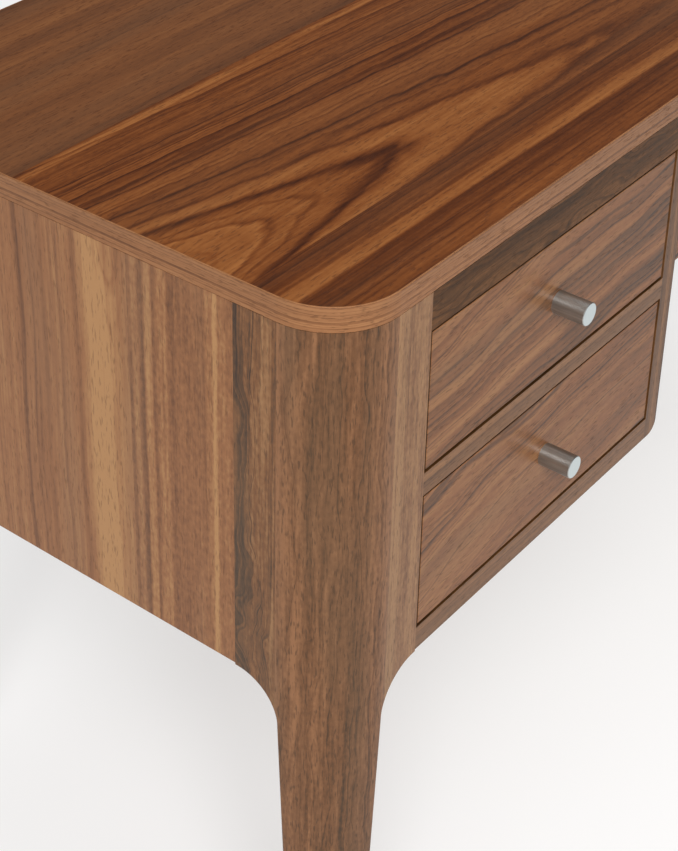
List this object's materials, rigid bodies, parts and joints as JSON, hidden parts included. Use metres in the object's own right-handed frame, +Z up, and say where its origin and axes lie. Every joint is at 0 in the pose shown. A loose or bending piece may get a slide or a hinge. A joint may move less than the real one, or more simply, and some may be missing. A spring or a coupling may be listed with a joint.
{
  "type": "writing desk with drawers",
  "caption": "Walnut writing desk on tapering legs with rounded corners, a drawer pedestal on the left and a centre drawer over the knee space.",
  "frame": {"origin": "on the floor, under the centre of the desk's bounding box", "axes": "+X to the right along the desk, +Y to the back, +Z up; the drawers open towards -Y"},
  "size_m": [1.22, 0.5494, 0.76],
  "materials": {
    "walnut_top_veneer": "walnut veneer, satin clear coat",
    "walnut_edge_band": "walnut edge band, satin clear coat",
    "walnut_solid": "solid walnut, satin clear coat",
    "walnut_rail": "solid walnut, satin clear coat",
    "walnut_drawer_veneer": "walnut veneer, satin clear coat",
    "walnut_panel_veneer": "walnut veneer, satin clear coat",
    "drawer_box_maple": "clear lacquered maple",
    "beech": "plain turned beech",
    "knob_steel": "turned and brushed",
    "slide_steel": "bright zinc plated",
    "bracket_steel": "zinc plated",
    "screw_steel": "zinc plated",
    "glide_plastic": "matte moulded"
  },
  "bodies": {
    "desk_frame": {"back_left_leg": "walnut_solid", "back_left_leg_wings": "walnut_solid", "back_right_leg": "walnut_solid", "back_right_leg_wings": "walnut_solid", "bottom_rail": "walnut_rail", "bracket_screws": "screw_steel", "center_drawer_hanger": "walnut_panel_veneer", "center_drawer_slide_outer": "slide_steel", "frame_dowels": "beech", "front_left_leg": "walnut_solid", "front_left_leg_wings": "walnut_solid", "front_right_leg": "walnut_solid", "front_right_leg_wings": "walnut_solid", "left_end_panel": "walnut_panel_veneer", "leg_glides": "glide_plastic", "lower_drawer_slide_outer": "slide_steel", "middle_rail": "walnut_rail", "modesty_panel": "walnut_panel_veneer", "pedestal_back_panel": "walnut_panel_veneer", "pedestal_bottom_panel": "walnut_panel_veneer", "pedestal_inner_panel": "walnut_panel_veneer", "pedestal_slide_panel": "walnut_panel_veneer", "pedestal_stile": "walnut_rail", "right_end_panel": "walnut_panel_veneer", "slide_screws": "screw_steel", "tabletop_brackets": "bracket_steel", "tabletop_edge_band": "walnut_edge_band", "tabletop_panel": "walnut_top_veneer", "top_rail": "walnut_rail", "upper_drawer_slide_outer": "slide_steel"},
    "upper_drawer": {"upper_drawer_back": "drawer_box_maple", "upper_drawer_bottom": "drawer_box_maple", "upper_drawer_front": "walnut_drawer_veneer", "upper_drawer_knob": "knob_steel", "upper_drawer_knob_screw": "screw_steel", "upper_drawer_left_side": "drawer_box_maple", "upper_drawer_right_side": "drawer_box_maple", "upper_drawer_slide_inner": "slide_steel"},
    "upper_slide_middles": {"upper_drawer_slide_middle": "slide_steel"},
    "lower_drawer": {"lower_drawer_back": "drawer_box_maple", "lower_drawer_bottom": "drawer_box_maple", "lower_drawer_front": "walnut_drawer_veneer", "lower_drawer_knob": "knob_steel", "lower_drawer_knob_screw": "screw_steel", "lower_drawer_left_side": "drawer_box_maple", "lower_drawer_right_side": "drawer_box_maple", "lower_drawer_slide_inner": "slide_steel"},
    "lower_slide_middles": {"lower_drawer_slide_middle": "slide_steel"},
    "center_drawer": {"center_drawer_back": "drawer_box_maple", "center_drawer_bottom": "drawer_box_maple", "center_drawer_front": "walnut_drawer_veneer", "center_drawer_knob": "knob_steel", "center_drawer_knob_screw": "screw_steel", "center_drawer_left_side": "drawer_box_maple", "center_drawer_right_side": "drawer_box_maple", "center_drawer_slide_inner": "slide_steel"},
    "center_slide_middles": {"center_drawer_slide_middle": "slide_steel"}
  },
  "joints": [
    {"name": "upper_drawer_slide", "type": "slide", "parent": "desk_frame", "child": "upper_drawer", "axis": [0, -1, 0], "range_m": [0, 0.38]},
    {"name": "upper_slide_middles_travel", "type": "slide", "parent": "desk_frame", "child": "upper_slide_middles", "axis": [0, -1, 0], "range_m": [0, 0.19]},
    {"name": "lower_drawer_slide", "type": "slide", "parent": "desk_frame", "child": "lower_drawer", "axis": [0, -1, 0], "range_m": [0, 0.38]},
    {"name": "lower_slide_middles_travel", "type": "slide", "parent": "desk_frame", "child": "lower_slide_middles", "axis": [0, -1, 0], "range_m": [0, 0.19]},
    {"name": "center_drawer_slide", "type": "slide", "parent": "desk_frame", "child": "center_drawer", "axis": [0, -1, 0], "range_m": [0, 0.38]},
    {"name": "center_slide_middles_travel", "type": "slide", "parent": "desk_frame", "child": "center_slide_middles", "axis": [0, -1, 0], "range_m": [0, 0.19]}
  ],
  "couplings": [
    {"joint": "upper_slide_middles_travel", "follows": "upper_drawer_slide", "ratio": 0.5},
    {"joint": "lower_slide_middles_travel", "follows": "lower_drawer_slide", "ratio": 0.5},
    {"joint": "center_slide_middles_travel", "follows": "center_drawer_slide", "ratio": 0.5}
  ]
}
